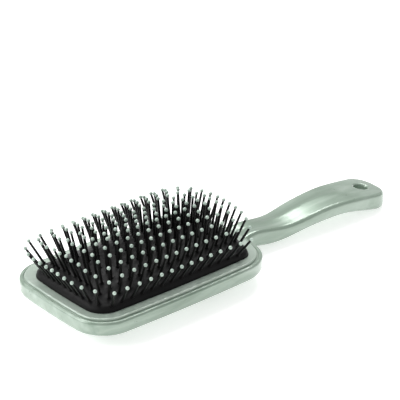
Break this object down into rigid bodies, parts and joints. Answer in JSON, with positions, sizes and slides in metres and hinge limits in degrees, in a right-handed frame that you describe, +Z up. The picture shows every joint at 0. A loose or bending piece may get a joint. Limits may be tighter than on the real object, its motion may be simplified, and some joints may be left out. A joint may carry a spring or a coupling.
{
  "type": "paddle brush",
  "caption": "Flat hair brush with a rounded rectangular head, a domed rubber cushion of ball-tipped pins and a curved handle with a hanging hole.",
  "frame": {"origin": "middle of the footprint, on the surface that the brush lies on with its pins up", "axes": "+X from the head to the handle's end, +Z up, the way the pins point"},
  "size_m": [0.239, 0.0834, 0.0456],
  "materials": {
    "body": "smooth glossy sage green moulding",
    "frame": "smooth glossy sage green moulding",
    "cushion": "soft black rubber with a slight sheen",
    "pin": "satin black nylon",
    "tip": "glossy pale mint bead"
  },
  "bodies": {
    "paddle": {"paddle_body": "body", "front_frame": "frame", "rubber_cushion": "cushion"},
    "ring_1": {"pins_ring_1": "pin", "tips_ring_1": "tip"},
    "ring_2": {"pins_ring_2": "pin", "tips_ring_2": "tip"},
    "ring_3": {"pins_ring_3": "pin", "tips_ring_3": "tip"},
    "ring_4": {"pins_ring_4": "pin", "tips_ring_4": "tip"},
    "ring_5": {"pins_ring_5": "pin", "tips_ring_5": "tip"},
    "ring_6": {"pins_ring_6": "pin", "tips_ring_6": "tip"},
    "ring_7": {"pins_ring_7": "pin", "tips_ring_7": "tip"},
    "ring_8": {"pins_ring_8": "pin", "tips_ring_8": "tip"},
    "ring_9": {"pins_ring_9": "pin", "tips_ring_9": "tip"}
  },
  "joints": [
    {"name": "ring_1_sink", "type": "slide", "parent": "paddle", "child": "ring_1", "axis": [0, 0, -1], "range_m": [0, 0.000651], "stiffness_N_per_m": 200},
    {"name": "ring_2_sink", "type": "slide", "parent": "paddle", "child": "ring_2", "axis": [0, 0, -1], "range_m": [0, 0.0008], "stiffness_N_per_m": 200},
    {"name": "ring_3_sink", "type": "slide", "parent": "paddle", "child": "ring_3", "axis": [0, 0, -1], "range_m": [0, 0.00124], "stiffness_N_per_m": 200},
    {"name": "ring_4_sink", "type": "slide", "parent": "paddle", "child": "ring_4", "axis": [0, 0, -1], "range_m": [0, 0.00153], "stiffness_N_per_m": 200},
    {"name": "ring_5_sink", "type": "slide", "parent": "paddle", "child": "ring_5", "axis": [0, 0, -1], "range_m": [0, 0.00195], "stiffness_N_per_m": 200},
    {"name": "ring_6_sink", "type": "slide", "parent": "paddle", "child": "ring_6", "axis": [0, 0, -1], "range_m": [0, 0.00221], "stiffness_N_per_m": 200},
    {"name": "ring_7_sink", "type": "slide", "parent": "paddle", "child": "ring_7", "axis": [0, 0, -1], "range_m": [0, 0.00265], "stiffness_N_per_m": 200},
    {"name": "ring_8_sink", "type": "slide", "parent": "paddle", "child": "ring_8", "axis": [0, 0, -1], "range_m": [0, 0.00302], "stiffness_N_per_m": 200},
    {"name": "cushion_press", "type": "slide", "parent": "paddle", "child": "ring_9", "axis": [0, 0, -1], "range_m": [0, 0.0033], "stiffness_N_per_m": 200, "deforming": ["rubber_cushion"]}
  ],
  "couplings": [
    {"joint": "ring_1_sink", "follows": "cushion_press", "ratio": 0.1969},
    {"joint": "ring_2_sink", "follows": "cushion_press", "ratio": 0.2421},
    {"joint": "ring_3_sink", "follows": "cushion_press", "ratio": 0.3754},
    {"joint": "ring_4_sink", "follows": "cushion_press", "ratio": 0.4646},
    {"joint": "ring_5_sink", "follows": "cushion_press", "ratio": 0.5918},
    {"joint": "ring_6_sink", "follows": "cushion_press", "ratio": 0.6687},
    {"joint": "ring_7_sink", "follows": "cushion_press", "ratio": 0.8021},
    {"joint": "ring_8_sink", "follows": "cushion_press", "ratio": 0.9138}
  ]
}
